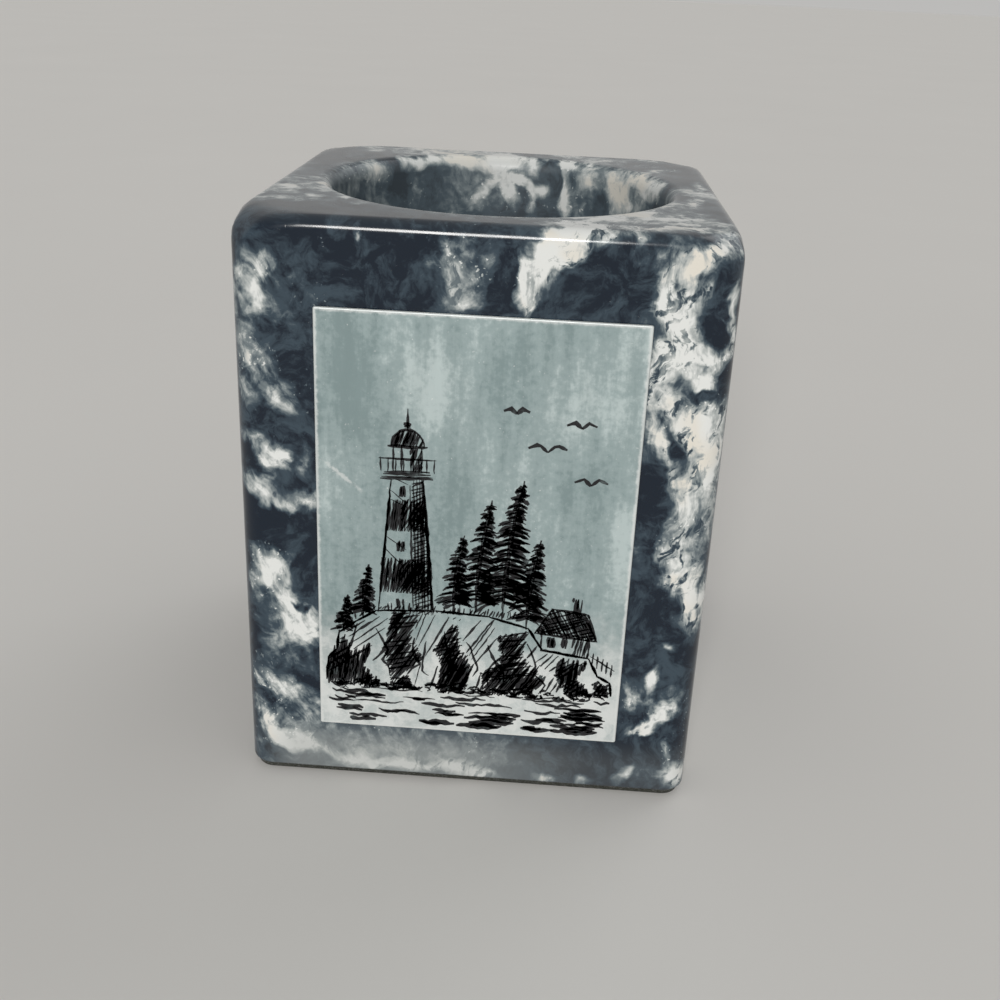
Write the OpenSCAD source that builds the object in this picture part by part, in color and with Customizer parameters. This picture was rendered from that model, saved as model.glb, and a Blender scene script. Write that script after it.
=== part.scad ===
// Marble pen cup: a drilled square block with a picture plate on its front and felt under its base.
// Millimetres. The origin is the middle of the underside, the plate faces -Y and +Z is up.

/* [Marble body] */
// Width of the block, across the plate side
body_w = 76; // [60:0.5:110]
// Depth of the block, front to back
body_d = 76; // [60:0.5:110]
// Height of the marble alone
body_h = 96.8; // [70:0.2:140]
// Radius of the upright corners
corner_r = 4; // [3:0.5:12]
// Radius worked round the top edge
top_r = 2.2; // [0.8:0.1:2.8]
// Radius that the four top corners are eased to by hand
ease_r = 7; // [3:0.5:12]
// Bevel ground along the bottom edge
base_bevel = 0.5; // [0.2:0.1:0.7]

/* [Pen well] */
// Wall left at the middle of the narrower pair of sides
wall_t = 9; // [6:0.5:16]
// Marble left under the well
floor_t = 11; // [5:0.5:25]
// Radius of the eased lip at the mouth
lip_r = 2.5; // [0.8:0.1:3]
// Radius that the drill leaves round the foot of the well
foot_r = 3; // [1:0.5:8]

/* [Picture plate] */
// Thickness of the plate
plate_t = 0.6; // [0.4:0.1:2]
// Bevel round the plate's front edge
plate_bevel = 0.25; // [0.1:0.05:0.35]
// Marble left bare on each side of the plate
side_margin = 12.8; // [9:0.2:20]
// Marble left bare above the plate
top_margin = 13.3; // [6:0.1:25]
// Marble left bare below the plate
base_margin = 9.9; // [4:0.1:25]
// How far the plate was stuck on to the right of the middle
plate_shift = 0.1; // [-1:0.1:1]
// Thickness of the adhesive film behind the plate
plate_film_t = 0.15; // [0.1:0.05:0.5]
// How far that film stays inside the plate's edge
plate_film_inset = 1.5; // [0.5:0.5:5]

/* [Felt base] */
// Thickness of the felt
felt_t = 1; // [0.6:0.1:3]
// How far the felt stays inside the block's edge
felt_inset = 0.8; // [0.4:0.1:2.5]
// Thickness of the adhesive layer on the felt
felt_film_t = 0.2; // [0.1:0.05:0.5]
// How far the adhesive stays inside the felt's edge
felt_film_inset = 0.6; // [0.2:0.1:2]

/* [Hidden] */
$fn = 96;
// How far a cutting shape runs past what it cuts
overshoot = 1;
// How far the easing stays clear of the block away from its top corners
ease_clear = 0.2;
// Smallest corner radius that felt or adhesive is cut with
least_r = 0.2;

// Heights of the stack, from the table up
felt_film_z = felt_t;
body_z = felt_film_z + felt_film_t;

// Distance of the upright corners' outermost line from the well's axis
corner_reach = norm([body_w / 2 - corner_r, body_d / 2 - corner_r]) + corner_r;

// The well keeps the stated wall on the narrower pair of sides
well_r = min(body_w, body_d) / 2 - wall_t;

// The plate fills the front face inside its margins
front_y = -body_d / 2;
plate_w = body_w - 2 * side_margin;
plate_h = body_h - top_margin - base_margin;
plate_back_y = front_y - plate_film_t;
plate_z = body_z + base_margin;

// Felt and adhesive follow the block's corners at their distance from its edge
felt_r = max(corner_r - felt_inset, least_r);
felt_film_r = max(felt_r - felt_film_inset, least_r);

marble_color = "#333c47";
plate_color = "#9aa9ab";
film_color = "#d9d4c3";
felt_color = "#23261a";

// What a round of radius r takes off the corner of a square, with the arc's centre at the origin
module spandrel(r) {
    difference() {
        square(r + overshoot);
        circle(r);
    }
}

// Half of an upright section: the axis on the left, a round of radius r at the outer top corner
// and a bevel of size b at the outer bottom corner
module half_section(reach, h, r, b) {
    past = reach + overshoot;
    difference() {
        square([reach, h]);
        translate([reach - r, h - r]) spandrel(r);
        polygon([[reach - b - overshoot, -overshoot], [past, -overshoot], [past, b + overshoot]]);
    }
}

// A whole upright section, round at both top corners and bevelled at both bottom corners
module full_section(w, h, r, b) {
    half_section(w / 2, h, r, b);
    mirror([1, 0]) half_section(w / 2, h, r, b);
}

// A block with upright corners of radius rc, whose top edge has a round of radius rt all the way
// and whose bottom edge has a bevel of size b
module rounded_block(w, d, h, rc, rt, b) {
    rotate([90, 0, 0])
        linear_extrude(d - 2 * rc, center = true) full_section(w, h, rt, b);
    rotate([90, 0, 90])
        linear_extrude(w - 2 * rc, center = true) full_section(d, h, rt, b);
    for (quarter = [0:3]) {
        side_x = quarter == 0 || quarter == 3 ? 1 : -1;
        side_y = quarter < 2 ? 1 : -1;
        translate([side_x * (w / 2 - rc), side_y * (d / 2 - rc), 0])
            rotate(quarter * 90)
                rotate_extrude(angle = 90) half_section(rc, h, rt, b);
    }
}

// A turned shape round the well's axis that the top corners are ground down to, and nothing else
module corner_envelope() {
    reach = corner_reach + ease_clear;
    h = body_h + ease_clear + overshoot;
    translate([0, 0, -overshoot])
        rotate_extrude() half_section(reach, h, ease_r, base_bevel);
}

// A flat sheet with round corners
module sheet(w, d, t, r) {
    linear_extrude(t)
        difference() {
            square([w, d], center = true);
            for (side_x = [0, 1], side_y = [0, 1])
                mirror([side_x, 0]) mirror([0, side_y])
                    translate([w / 2 - r, d / 2 - r]) spandrel(r);
        }
}

// The space that the core drill and the lip tool take out of the block
module well() {
    rotate_extrude() {
        difference() {
            translate([0, floor_t]) square([well_r, body_h - floor_t + overshoot]);
            translate([well_r - foot_r, floor_t + foot_r]) mirror([0, 1]) spandrel(foot_r);
        }
        intersection() {
            translate([well_r + lip_r, body_h - lip_r]) mirror([1, 0]) spandrel(lip_r);
            translate([0, body_h - lip_r]) square([well_r + lip_r, lip_r + overshoot]);
        }
    }
}

module marble_body() {
    color(marble_color)
        translate([0, 0, body_z])
            difference() {
                intersection() {
                    rounded_block(body_w, body_d, body_h, corner_r, top_r, base_bevel);
                    corner_envelope();
                }
                well();
            }
}

// Section of the plate across a side of length len, lying from y = 0 forward to y = -plate_t
function bevelled_section(len) = [
    [0, 0],
    [len, 0],
    [len, -plate_t + plate_bevel],
    [len - plate_bevel, -plate_t],
    [plate_bevel, -plate_t],
    [0, -plate_t + plate_bevel]
];

module picture_plate() {
    color(plate_color)
        translate([plate_shift - plate_w / 2, plate_back_y, plate_z])
            intersection() {
                linear_extrude(plate_h) polygon(bevelled_section(plate_w));
                rotate([90, 0, 90])
                    linear_extrude(plate_w)
                        polygon([for (p = bevelled_section(plate_h)) [p[1], p[0]]]);
            }
}

module plate_film() {
    color(film_color)
        translate([plate_shift - plate_w / 2 + plate_film_inset, plate_back_y, plate_z + plate_film_inset])
            cube([plate_w - 2 * plate_film_inset, plate_film_t, plate_h - 2 * plate_film_inset]);
}

module felt_pad() {
    color(felt_color)
        sheet(body_w - 2 * felt_inset, body_d - 2 * felt_inset, felt_t, felt_r);
}

module felt_film() {
    edge = felt_inset + felt_film_inset;
    color(film_color)
        translate([0, 0, felt_film_z])
            sheet(body_w - 2 * edge, body_d - 2 * edge, felt_film_t, felt_film_r);
}

marble_body();
picture_plate();
plate_film();
felt_pad();
felt_film();
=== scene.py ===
"""Looks of the marble pen cup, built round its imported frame: stone, printed plate and felt base."""

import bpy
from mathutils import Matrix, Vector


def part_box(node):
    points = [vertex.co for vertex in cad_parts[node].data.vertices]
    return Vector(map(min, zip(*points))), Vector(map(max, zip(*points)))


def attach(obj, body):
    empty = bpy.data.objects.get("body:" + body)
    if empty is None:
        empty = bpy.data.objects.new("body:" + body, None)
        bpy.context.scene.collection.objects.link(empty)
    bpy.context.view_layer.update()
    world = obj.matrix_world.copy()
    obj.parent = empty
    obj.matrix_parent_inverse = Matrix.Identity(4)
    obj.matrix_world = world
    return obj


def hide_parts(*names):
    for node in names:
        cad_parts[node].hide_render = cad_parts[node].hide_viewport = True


bl_info = {
    "name": "Marble pen cup",
    "version": (1, 0, 0),
    "blender": (4, 5, 0),
    "location": "3D View > Sidebar > Pen cup",
    "description": "Models and finishes a drilled marble pen cup with a picture plate and a felt base",
    "category": "Object",
}

import math
import random

import bmesh
import bpy
from bpy.props import FloatProperty, FloatVectorProperty, IntProperty, PointerProperty
from mathutils import Vector

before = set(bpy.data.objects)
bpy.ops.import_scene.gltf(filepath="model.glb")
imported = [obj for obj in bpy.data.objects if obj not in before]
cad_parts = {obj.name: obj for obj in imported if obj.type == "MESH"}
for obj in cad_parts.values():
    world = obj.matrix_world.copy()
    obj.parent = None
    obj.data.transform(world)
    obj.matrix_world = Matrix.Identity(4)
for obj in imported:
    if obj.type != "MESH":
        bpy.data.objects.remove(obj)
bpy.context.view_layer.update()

MM = 0.001
# Two places closer than this are the same place
TOUCH = 0.02 * MM

# The stone's and the plate's corners, in the millimetres that the finishes are measured in
STONE_LOW, STONE_HIGH = (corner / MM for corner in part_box("marble_body"))
PLATE_LOW, PLATE_HIGH = (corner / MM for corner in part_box("picture_plate"))
FRONT = STONE_LOW.y
TOP = STONE_HIGH.z

# Faces round the block: arc steps in each upright corner, and steps along each straight side
CORNER_STEPS = 12
SIDE_STEPS = 20
RING_STEPS = 4 * (CORNER_STEPS + SIDE_STEPS)
# Steps across the block's worked edges
TOP_EDGE_STEPS = 9
LIP_STEPS = 7
WELL_FOOT_STEPS = 6
BASE_STEPS = 3
# Steps round the turned shape that eases the top corners, and across its edge
TURNED_STEPS = 256
EASE_STEPS = 24
# Depths in millimetres below the top where the sides get an edge loop, and the rings in the flat top
SIDE_LOOPS = (2.8, 3.5, 4.3, 5.2, 6.2, 7.4, 9.0, 12.0, 17.0, 26.0, 42.0, 62.0)
TOP_RINGS = 11
# Steps round the plate's snipped corners and across its bevelled edge
SNIP_STEPS = 4
PLATE_EDGE_STEPS = 3
# How much more say a large face has than a small one in the shading, where 50 is none
BLOCK_FLATNESS = 60
PLATE_FLATNESS = 80

# Shares of the felt's thickness: its pressed edge, and the middle of its cut side, which frays
FELT_EDGE = 0.22
FELT_EDGE_STEPS = 2
FRAYED = 0.35
# A loose fibre's angle to the felt's edge line, in radians, and its rings and their corners
FIBRE_TURN = 1.2
FIBRE_RINGS = 4
FIBRE_SIDES = 3

# Clouds in the stone, in millimetres: centre, half sizes (across, deep, along), lean to the right in
# degrees, and weight, which is above zero for pale stone and below zero for dark stone
LEFT_CLOUDS = (
    ((-34.6, FRONT, 87.0), (3.7, 14.0, 5.8), 12, 0.86),
    ((-33.0, FRONT, 90.8), (2.0, 10.0, 3.0), 20, 0.60),
    ((-29.2, FRONT, 84.0), (4.4, 10.0, 9.5), -10, 0.38),
    ((-36.0, FRONT, 76.0), (2.6, 14.0, 8.0), -8, 0.80),
    ((-30.4, FRONT, 71.0), (2.6, 10.0, 8.2), -27, 0.80),
    ((-33.5, FRONT, 72.0), (5.0, 10.0, 8.0), -25, 0.34),
    ((-30.6, FRONT, 57.0), (6.5, 10.0, 6.5), -30, 0.32),
    ((-33.8, FRONT, 61.4), (1.9, 10.0, 6.4), -45, 0.85),
    ((-31.6, FRONT, 59.4), (2.5, 10.0, 3.1), 0, 1.25),
    ((-33.8, FRONT, 53.9), (1.8, 10.0, 5.9), -52, 1.40),
    ((-27.2, FRONT, 52.2), (3.7, 10.0, 2.7), -20, 1.15),
    ((-26.6, FRONT, 58.4), (1.3, 8.0, 2.0), 0, 0.70),
    ((-33.6, FRONT, 39.4), (4.6, 14.0, 6.2), -10, 1.60),
    ((-29.0, FRONT, 31.6), (4.8, 14.0, 4.9), -30, 1.65),
    ((-26.5, FRONT, 28.4), (2.6, 10.0, 3.2), 0, 0.95),
    ((-34.0, FRONT, 28.6), (2.2, 10.0, 3.8), -20, 0.65),
    ((-30.5, FRONT, 23.0), (7.5, 10.0, 4.6), 0, 0.44),
    ((-30.8, FRONT, 16.4), (7.8, 14.0, 3.0), 26, 1.35),
    ((-29.6, FRONT, 11.0), (6.0, 10.0, 3.8), 20, 0.52),
    ((-34.8, FRONT, 11.0), (1.8, 10.0, 5.2), -34, 1.25),
    ((-29.3, FRONT, 6.3), (5.4, 10.0, 1.8), 17, 1.35),
    ((-31.5, FRONT, 47.6), (9.0, 14.0, 3.8), 8, -0.95),
    ((-33.0, FRONT, 66.2), (5.6, 12.0, 2.5), 0, -0.80),
    ((-29.4, FRONT, 77.0), (3.2, 12.0, 4.4), 0, -0.65),
    ((-27.3, FRONT, 40.0), (2.7, 12.0, 5.6), 0, -0.85),
    ((-34.5, FRONT, 96.2), (6.5, 12.0, 3.6), 0, -0.65),
    ((-32.0, FRONT, 52.0), (9.0, 12.0, 62.0), 0, -0.18),
    ((-29.0, FRONT, 34.0), (0.6, 6.0, 1.5), -66, -1.00),
    ((-27.6, FRONT, 33.4), (0.5, 6.0, 1.2), 48, -1.00),
)
RIGHT_CLOUDS = (
    ((31.0, FRONT, 94.2), (4.8, 12.0, 1.8), -28, 1.15),
    ((35.4, FRONT, 95.4), (2.8, 12.0, 1.9), 15, 1.05),
    ((26.1, FRONT, 88.2), (1.7, 12.0, 4.6), 4, 1.65),
    ((30.4, FRONT, 88.2), (3.2, 12.0, 6.6), 12, 0.92),
    ((28.9, FRONT, 80.6), (3.6, 12.0, 5.6), 0, 1.30),
    ((33.0, FRONT, 80.9), (2.5, 10.0, 1.7), -15, 1.30),
    ((33.6, FRONT, 76.6), (3.1, 10.0, 1.8), 10, 1.25),
    ((29.8, FRONT, 72.2), (3.1, 12.0, 3.1), 0, 1.40),
    ((34.0, -36.0, 65.2), (5.0, 16.0, 9.8), -4, 1.60),
    ((27.0, FRONT, 66.5), (0.9, 8.0, 4.0), -18, 0.95),
    ((26.4, FRONT, 73.5), (2.6, 10.0, 12.0), 2, 0.60),
    ((31.8, FRONT, 70.0), (6.5, 12.0, 30.0), -6, 0.34),
    ((33.6, -37.0, 52.6), (5.2, 14.0, 7.6), 5, 0.90),
    ((34.4, -37.0, 42.5), (3.4, 12.0, 5.4), -8, 1.10),
    ((31.6, FRONT, 43.0), (3.2, 10.0, 5.4), -8, 0.60),
    ((36.0, -36.0, 36.5), (2.1, 12.0, 4.8), -10, 1.15),
    ((29.2, FRONT, 48.0), (1.5, 6.0, 3.2), 0, 0.90),
    ((33.0, FRONT, 30.4), (1.7, 6.0, 1.1), 35, 0.85),
    ((31.1, FRONT, 24.2), (0.9, 6.0, 2.7), 6, 1.00),
    ((27.3, FRONT, 20.6), (2.7, 10.0, 3.3), 0, 0.60),
    ((31.5, FRONT, 19.5), (4.6, 10.0, 4.4), 20, 0.42),
    ((31.0, FRONT, 5.5), (6.0, 10.0, 3.6), 0, 0.36),
    ((32.0, FRONT, 15.8), (2.0, 10.0, 4.8), 40, 1.40),
    ((29.5, FRONT, 13.2), (2.3, 10.0, 1.7), 10, 1.10),
    ((34.0, FRONT, 8.8), (0.9, 6.0, 2.7), 4, 0.85),
    ((35.6, FRONT, 4.0), (2.7, 12.0, 3.0), 0, 1.50),
    ((27.0, FRONT, 4.4), (1.0, 6.0, 2.3), 35, 0.85),
    ((34.3, FRONT, 87.2), (2.3, 12.0, 5.4), 0, -1.35),
    ((35.4, FRONT, 86.6), (0.7, 6.0, 2.1), -25, 1.10),
    ((37.2, -37.6, 86.5), (1.1, 6.0, 8.5), 0, 1.35),
    ((35.6, FRONT, 79.8), (2.3, 8.0, 2.6), 10, 1.15),
    ((34.0, FRONT, 73.9), (2.5, 8.0, 1.3), 0, -1.35),
    ((36.6, FRONT, 78.0), (1.2, 8.0, 2.3), 0, -1.05),
    ((27.4, FRONT, 55.0), (2.4, 12.0, 7.6), 0, -0.70),
    ((29.0, FRONT, 37.0), (4.6, 12.0, 6.6), 0, -0.55),
    ((31.0, FRONT, 28.5), (5.6, 12.0, 4.2), 0, -0.15),
    ((30.5, FRONT, 9.2), (4.4, 12.0, 3.3), 0, -0.75),
    ((29.4, FRONT, 65.0), (1.0, 8.0, 4.4), -28, -1.00),
)
TOP_CLOUDS = (
    ((6.2, FRONT, 88.8), (1.8, 10.0, 3.6), 18, 1.75),
    ((8.6, FRONT, 92.2), (3.0, 10.0, 3.8), 30, 1.95),
    ((11.0, FRONT, 95.4), (3.6, 10.0, 3.4), 40, 1.90),
    ((14.5, -36.0, 98.0), (6.0, 4.4, 2.2), 0, 1.50),
    ((24.0, -34.5, 98.0), (7.0, 2.2, 3.0), 0, 1.05),
    ((32.0, -33.5, 98.0), (5.0, 1.8, 3.0), 0, 0.85),
    ((-4.2, FRONT, 91.0), (5.4, 10.0, 6.2), 10, 0.82),
    ((-2.6, FRONT, 87.2), (2.1, 8.0, 1.7), 0, 0.62),
    ((-18.5, FRONT, 95.0), (0.8, 8.0, 2.3), 2, 1.30),
    ((27.0, FRONT, 95.0), (2.3, 8.0, 3.1), 40, 0.52),
    ((17.5, FRONT, 89.0), (7.2, 12.0, 5.2), 0, -0.95),
    ((-15.5, FRONT, 90.0), (8.5, 12.0, 6.2), 0, -0.55),
    ((2.4, FRONT, 90.0), (1.9, 10.0, 5.2), 22, -0.80),
    ((-33.0, -8.0, 98.5), (7.0, 28.0, 5.0), 0, -0.45),
    ((34.0, -6.0, 98.5), (6.0, 30.0, 5.0), 0, -0.20),
    ((-32.9, -15.9, 98.0), (2.3, 2.6, 3.0), 0, 0.95),
    ((-28.0, -22.8, 98.0), (1.3, 3.0, 3.0), 0, 0.95),
    ((-31.5, 20.5, 98.0), (4.5, 4.5, 3.0), 0, 0.75),
    ((-28.4, -11.5, 97.6), (1.4, 6.0, 2.5), 0, 0.90),
    ((-23.8, -20.5, 97.6), (1.6, 4.0, 2.5), 0, 0.80),
    ((33.0, -12.0, 98.0), (1.2, 6.0, 3.0), 0, 0.75),
    ((35.2, 6.0, 98.0), (1.2, 7.0, 3.0), 0, 0.65),
    ((30.5, 22.0, 98.0), (4.0, 3.0, 3.0), 0, 0.60),
)
FOOT_CLOUDS = (
    ((-11.0, FRONT, 5.6), (31.0, 10.0, 8.0), 0, 0.68),
    ((-19.0, FRONT, 3.8), (5.6, 10.0, 1.7), 8, 0.75),
    ((-10.5, FRONT, 3.2), (5.4, 10.0, 1.8), 0, 0.90),
    ((-2.0, FRONT, 3.2), (4.4, 10.0, 1.6), 0, 0.85),
    ((3.2, FRONT, 2.4), (2.8, 8.0, 1.2), 0, 0.95),
    ((13.5, FRONT, 2.2), (2.1, 6.0, 1.0), 0, 1.00),
    ((20.0, FRONT, 2.4), (1.7, 6.0, 1.0), 0, 0.75),
    ((16.5, FRONT, 7.0), (9.5, 12.0, 4.2), 0, -0.60),
)
WELL_CLOUDS = (
    ((-0.5, 29.0, 92.4), (1.6, 6.0, 6.0), -24, 1.45),
    ((0.6, 29.0, 97.2), (4.6, 6.0, 1.7), 0, 1.00),
    ((-12.0, 26.4, 97.0), (11.0, 7.0, 1.6), 0, 0.85),
    ((-19.0, 21.9, 97.0), (3.0, 5.0, 1.8), 0, 1.15),
    ((-8.4, 27.8, 97.0), (2.2, 5.0, 2.0), 0, 0.45),
    ((10.0, 27.2, 97.4), (11.0, 7.0, 1.4), 0, 0.60),
    ((-4.9, 28.6, 91.4), (1.1, 6.0, 4.0), 42, 0.85),
    ((2.9, 28.8, 92.6), (1.2, 6.0, 2.8), -52, 1.35),
    ((6.2, 28.3, 91.9), (1.2, 6.0, 2.8), 62, 1.35),
    ((4.7, 28.6, 88.6), (1.1, 6.0, 3.2), -14, 1.05),
    ((5.2, 28.5, 96.0), (1.2, 6.0, 2.4), 8, 1.05),
    ((11.7, 26.5, 91.2), (1.5, 6.0, 5.2), -6, 1.25),
    ((12.6, 26.1, 96.6), (2.2, 6.0, 1.8), 0, 1.00),
    ((16.4, 23.9, 94.6), (2.6, 6.0, 3.2), 20, 0.85),
    ((21.4, 19.6, 93.6), (2.9, 6.0, 5.2), 0, 1.25),
    ((25.0, 14.7, 96.8), (1.6, 6.0, 1.5), 30, 0.75),
    ((27.2, 9.6, 96.2), (3.0, 6.0, 3.0), 0, 1.20),
    ((-24.4, 16.0, 96.6), (3.6, 6.0, 1.9), 20, 1.10),
    ((-18.0, 22.7, 91.0), (1.4, 6.0, 3.4), 12, 0.45),
    ((8.6, 27.7, 95.2), (1.9, 5.0, 1.6), 0, -0.80),
    ((19.0, 21.9, 91.0), (9.5, 9.0, 13.0), 0, -0.95),
    ((4.0, 28.7, 84.0), (9.0, 6.0, 12.0), 0, -0.30),
    ((-16.0, 24.0, 86.0), (20.0, 14.0, 30.0), 0, -0.70),
    ((-22.0, 0.0, 98.0), (20.0, 44.0, 14.0), 0, -0.45),
)
CLOUDS = LEFT_CLOUDS + RIGHT_CLOUDS + TOP_CLOUDS + FOOT_CLOUDS + WELL_CLOUDS
# How far a cloud fades out past its half sizes
CLOUD_SPREAD = 1.22

# Patches on the plate, rubbed pale above zero and dulled below: place across and up, half sizes across
# and along, and weight. They and the scrape are clouds too, and reach this deep
PATCH_DEPTH = 4.0
PLATE_PATCHES = tuple(
    ((x, PLATE_LOW.y, z), (across, PATCH_DEPTH, along), 0, weight)
    for x, z, across, along, weight in (
        (-8.0, 74.5, 4.6, 8.5, 0.95),
        (-13.2, 83.0, 1.5, 7.0, 0.80),
        (15.5, 74.0, 9.0, 8.0, 0.80),
        (22.5, 82.0, 6.0, 6.0, 0.40),
        (-23.0, 57.0, 5.0, 7.0, 0.70),
        (22.5, 50.0, 3.0, 6.0, 0.50),
        (5.8, 75.0, 4.2, 9.5, -0.85),
        (-19.0, 74.0, 5.5, 8.0, -0.55),
        (15.5, 57.5, 8.0, 5.0, -0.60),
        (-3.0, 82.5, 5.0, 3.5, -0.35),
    )
)
PLATE_SCRAPE = (((-20.8, PLATE_LOW.y, 57.6), (0.6, PATCH_DEPTH, 5.4), -51, 1.0),)

# Colours of the hidden adhesive films
FILM_COLOR = (0.60, 0.56, 0.46)
FILM_PALE = (0.74, 0.70, 0.60)
FILM_BUBBLE = (0.84, 0.82, 0.76)

# The photograph's view: where the camera stands, how it is turned and where its frame is centred
CAMERA_PLACE = (10.73 * MM, -198.84 * MM, 130.87 * MM)
CAMERA_TURN = (68.475, -2.473, 3.2)
CAMERA_LENS = 40.763
CAMERA_SENSOR = 36.0
CAMERA_SHIFT = (-0.0073, -0.0745)

# Where the two lights come from, how wide they look from the cup, in degrees, and their colours
TO_WINDOW = (-0.10, -0.92, 0.37)
WINDOW_WIDTH = 17.0
WINDOW_COLOR = (1.0, 0.985, 0.96)
TO_RIM = (0.55, 0.62, 0.56)
RIM_WIDTH = 40.0
RIM_COLOR = (0.97, 0.985, 1.0)


def length(name, description, default):
    """A size that a user may change, in metres."""
    return FloatProperty(
        name=name, description=description, default=default, min=0.0, precision=5, unit="LENGTH"
    )


def tint(name, description, default):
    """A colour that a user may change."""
    return FloatVectorProperty(
        name=name, description=description, default=default, min=0.0, max=1.0, size=3, subtype="COLOR"
    )


def strength(name, description, default):
    """A brightness that a user may change."""
    return FloatProperty(name=name, description=description, default=default, min=0.0)


def number(name, description, default):
    """A count or a seed that a user may change."""
    return IntProperty(name=name, description=description, default=default, min=0)


class MarbleSettings(bpy.types.PropertyGroup):
    """Sizes and colours of the drilled stone."""

    corner_radius: length("Corner radius", "Radius of the upright corners", 4.0 * MM)
    top_radius: length("Top radius", "Radius worked round the top edge", 2.2 * MM)
    base_bevel: length("Base bevel", "Bevel ground along the bottom edge", 0.5 * MM)
    wall: length("Wall", "Stone left between the well and the middle of a side", 9.0 * MM)
    floor: length("Floor", "Stone left under the well", 11.0 * MM)
    lip_radius: length("Lip radius", "Radius of the eased lip at the well's mouth", 2.5 * MM)
    foot_radius: length("Foot radius", "Radius that the drill left round the well's foot", 3.0 * MM)
    ease_radius: length("Ease radius", "Radius that the four top corners are eased to by hand", 7.0 * MM)
    ease_clear: length("Ease clear", "How far the easing stays clear of the block elsewhere", 0.2 * MM)
    deep: tint("Deep stone", "Colour of the darkest stone", (0.0040, 0.0106, 0.0220))
    slate: tint("Slate", "Colour of the mottling in the dark stone", (0.040, 0.063, 0.085))
    haze: tint("Haze", "Colour where dark stone turns to cloud", (0.17, 0.205, 0.22))
    pale: tint("Pale", "Colour of the thin veils round the clouds", (0.44, 0.47, 0.465))
    cloud: tint("Cloud", "Colour of the white clouds", (0.76, 0.775, 0.76))
    cream: tint("Cream", "Colour of the warmer clouds", (0.75, 0.715, 0.64))


class PlateSettings(bpy.types.PropertyGroup):
    """Sizes and colours of the picture plate."""

    edge_bevel: length("Edge bevel", "Bevel round the plate's front edge", 0.25 * MM)
    corner_radius: length("Corner radius", "Radius of the plate's snipped corners", 0.35 * MM)
    ink_depth: length("Ink depth", "How far the ink stands on the plate's face", 0.03 * MM)
    metal: tint("Metal", "Colour of the plate", (0.322, 0.405, 0.410))
    shade: tint("Shade", "Colour of the darker streaks", (0.238, 0.314, 0.320))
    pale: tint("Pale", "Colour of the rubbed patches", (0.505, 0.590, 0.590))
    # The wash colour is also used for the painted highlight along the plate's edges
    wash: tint("Wash", "Colour of the white wash towards the foot", (0.760, 0.785, 0.775))
    ink: tint("Ink", "Colour of the printed lines", (0.006, 0.006, 0.008))
    seed: number("Seed", "Which hand drew the strokes", 7)


class FeltSettings(bpy.types.PropertyGroup):
    """Sizes and colours of the felt base."""

    corner_radius: length("Corner radius", "Radius of the felt's corners", 3.2 * MM)
    fray: length("Fray", "How far the cut edge wanders", 0.12 * MM)
    fibre_length: length("Fibre length", "Length of a loose fibre at the edge", 0.9 * MM)
    fibre_width: length("Fibre width", "Thickness of a loose fibre", 0.05 * MM)
    fibres: number("Fibres", "How many loose fibres show", 640)
    wool: tint("Wool", "Colour of the felt", (0.016, 0.018, 0.012))
    lint: tint("Lint", "Colour of the paler fibres", (0.055, 0.058, 0.042))
    seed: number("Seed", "Which way the fibres fell", 11)


class StageSettings(bpy.types.PropertyGroup):
    """The plain surroundings."""

    floor_radius: length("Floor radius", "How far the floor reaches", 12.0)
    floor: tint("Floor", "Colour of the floor", (0.74, 0.73, 0.71))
    sky: tint("Sky", "Colour of the soft light from all round", (1.0, 0.99, 0.97))
    sky_light: strength("Sky light", "Strength of the light from all round", 0.40)
    sky_seen: strength("Sky seen", "Brightness of the backdrop behind the cup", 0.50)
    sky_front: strength("Sky in front", "Brightness of what the front reflects", 0.40)
    key: strength("Key", "Strength of the window light from the front", 1.9)
    rim: strength("Rim", "Strength of the weak wide light from behind", 0.35)


class Nodes:
    """A node tree that is put together node by node."""

    def __init__(self, tree):
        self.tree = tree

    def feed(self, socket, value):
        """Links a socket to another, or sets it to a value."""
        if isinstance(value, bpy.types.NodeSocket):
            self.tree.links.new(value, socket)
        else:
            socket.default_value = value

    def node(self, kind, inputs, **choices):
        """Adds a node with its choices made and its inputs fed."""
        made = self.tree.nodes.new(kind)
        for key, value in choices.items():
            setattr(made, key, value)
        for key, value in inputs.items():
            self.feed(made.inputs[key], value)
        return made

    def axes(self, spot):
        """The three parts of a place or direction."""
        return self.node("ShaderNodeSeparateXYZ", {0: spot}).outputs

    def math(self, operation, *terms):
        return self.node("ShaderNodeMath", dict(enumerate(terms)), operation=operation).outputs[0]

    def times(self, product, *factors):
        """The product of two or more values."""
        for factor in factors:
            product = self.math("MULTIPLY", product, factor)
        return product

    def plus(self, total, value, share):
        """A total with a share of another value added."""
        return self.math("MULTIPLY_ADD", value, share, total)

    def stir(self, total, noise, share):
        """A total raised and lowered by a noise round its middle."""
        return self.plus(total, self.math("SUBTRACT", noise, 0.5), share)

    def span(self, value, low, high, to_low=0.0, to_high=1.0):
        """Eases a value from to_low at low to to_high at high, and stops there."""
        limits = {0: value, 1: low, 2: high, 3: to_low, 4: to_high}
        return self.node("ShaderNodeMapRange", limits, interpolation_type="SMOOTHSTEP").outputs[0]

    def less(self, zone, share):
        """One outside a zone, and a share inside it."""
        return self.span(zone, 0.0, 1.0, 1.0, share)


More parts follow.
